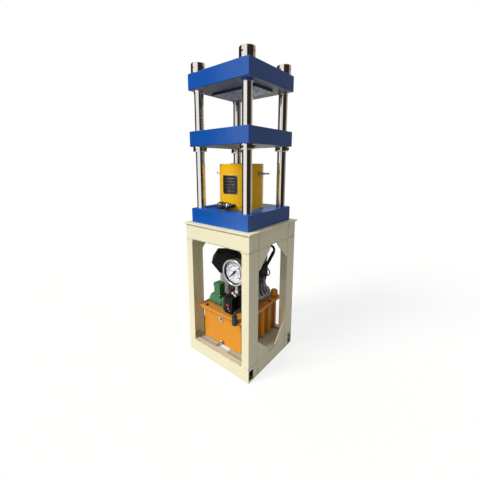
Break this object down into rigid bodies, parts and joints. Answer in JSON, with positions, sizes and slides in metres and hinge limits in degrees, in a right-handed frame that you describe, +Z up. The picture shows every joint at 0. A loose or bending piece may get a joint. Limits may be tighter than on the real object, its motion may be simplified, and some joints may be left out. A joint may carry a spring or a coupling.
{
  "type": "hydraulic press",
  "caption": "Upright press whose moving platen is pushed up four columns towards a fixed crown by a jack, on a welded stand that holds the electric pump unit.",
  "frame": {"origin": "centre of the footprint, on the floor", "axes": "+Z up along the columns, front of the press towards -Y, +X to the right seen from the front"},
  "size_m": [0.468, 0.468, 1.6303],
  "materials": {
    "stand_paint": "semi-gloss cream enamel",
    "plate_paint": "semi-gloss blue enamel",
    "column_steel": "ground and chromed",
    "nut_steel": "turned, oiled",
    "block_steel": "ground, dulled",
    "jack_paint": "gloss yellow enamel",
    "ram_steel": "ground",
    "coupler_black": "blackened, oiled",
    "cap_black": "moulded",
    "tank_paint": "satin orange enamel",
    "sight_steel": "polished",
    "valve_brass": "turned",
    "lever_steel": "plated",
    "cast_grey": "cast, painted grey",
    "cover_black": "black enamel",
    "solenoid_green": "green enamel",
    "button_red": "moulded",
    "knob_violet": "anodised",
    "dial_white": "printed white",
    "needle_black": "black",
    "lens_glass": "clear"
  },
  "bodies": {
    "press": {"base_plate": "plate_paint", "bottom_channel_front": "stand_paint", "bottom_channel_left": "stand_paint", "bottom_channel_rear": "stand_paint", "bottom_channel_right": "stand_paint", "capacitor_housing": "cast_grey", "carry_handle": "cap_black", "column_front_left": "column_steel", "column_front_right": "column_steel", "column_nut_front_left": "nut_steel", "column_nut_front_right": "nut_steel", "column_nut_rear_left": "nut_steel", "column_nut_rear_right": "nut_steel", "column_rear_left": "column_steel", "column_rear_right": "column_steel", "crown_plate": "plate_paint", "drain_valve": "valve_brass", "fan_cover": "cover_black", "floor_tray": "stand_paint", "gauge_case": "sight_steel", "gauge_dial": "dial_white", "gauge_lens": "lens_glass", "jack_coupler": "coupler_black", "jack_cylinder": "jack_paint", "lifting_eye_left": "jack_paint", "lifting_eye_right": "jack_paint", "motor_barrel": "cast_grey", "motor_bell": "cast_grey", "motor_lead": "cap_black", "post_front_left": "stand_paint", "post_front_right": "stand_paint", "post_rear_left": "stand_paint", "post_rear_right": "stand_paint", "pressing_block": "block_steel", "pump_body": "cast_grey", "sight_glass": "sight_steel", "solenoid_valve": "solenoid_green", "stand_top_plate": "stand_paint", "starter_box": "cap_black", "stop_collar_front_left": "nut_steel", "stop_collar_front_right": "nut_steel", "stop_collar_rear_left": "nut_steel", "stop_collar_rear_right": "nut_steel", "tank": "tank_paint", "tank_lid": "tank_paint", "terminal_box": "cap_black", "top_channel_front": "stand_paint", "top_channel_left": "stand_paint", "top_channel_rear": "stand_paint", "top_channel_right": "stand_paint", "valve_block": "coupler_black"},
    "platen": {"moving_platen": "plate_paint"},
    "ram": {"jack_ram": "ram_steel"},
    "needle": {"gauge_needle": "needle_black"},
    "button": {"stop_button": "button_red"},
    "relief_knob": {"relief_knob": "knob_violet"},
    "drain_lever": {"drain_lever": "lever_steel"},
    "filler_cap": {"filler_cap": "tank_paint"},
    "dust_cap": {"coupler_dust_cap": "cap_black"},
    "rotor": {"motor_rotor": "lever_steel"}
  },
  "joints": [
    {"name": "platen_slide", "type": "slide", "parent": "press", "child": "platen", "axis": [0, 0, 1], "range_m": [0, 0.19]},
    {"name": "ram_slide", "type": "slide", "parent": "press", "child": "ram", "axis": [0, 0, 1], "range_m": [0, 0.088]},
    {"name": "needle_turn", "type": "hinge", "parent": "press", "child": "needle", "pos_m": [0.084, -0.1692, 0.557], "axis": [0, 1, 0], "range_deg": [0, 270], "stiffness_Nm_per_rad": 0.05},
    {"name": "button_push", "type": "slide", "parent": "press", "child": "button", "axis": [0, 1, 0], "range_m": [0, 0.004], "stiffness_N_per_m": 600},
    {"name": "relief_knob_turn", "type": "hinge", "parent": "press", "child": "relief_knob", "pos_m": [0.027, -0.112, 0.422], "axis": [0, -1, 0], "range_deg": [-360, 360]},
    {"name": "drain_lever_turn", "type": "hinge", "parent": "press", "child": "drain_lever", "pos_m": [-0.008, -0.1858, 0.111], "axis": [0, 1, 0], "range_deg": [0, 90]},
    {"name": "filler_cap_turn", "type": "hinge", "parent": "press", "child": "filler_cap", "pos_m": [0.118, 0.186, 0.299], "axis": [0, 0, 1], "range_deg": [0, 360]},
    {"name": "dust_cap_turn", "type": "hinge", "parent": "press", "child": "dust_cap", "pos_m": [0.04857, -0.13344, 0.9042], "axis": [-0.9397, -0.342, 0], "range_deg": [0, 360]},
    {"name": "rotor_spin", "type": "hinge", "parent": "press", "child": "rotor", "pos_m": [-0.008, 0.1, 0.562], "axis": [0, 0, 1], "continuous": true}
  ]
}
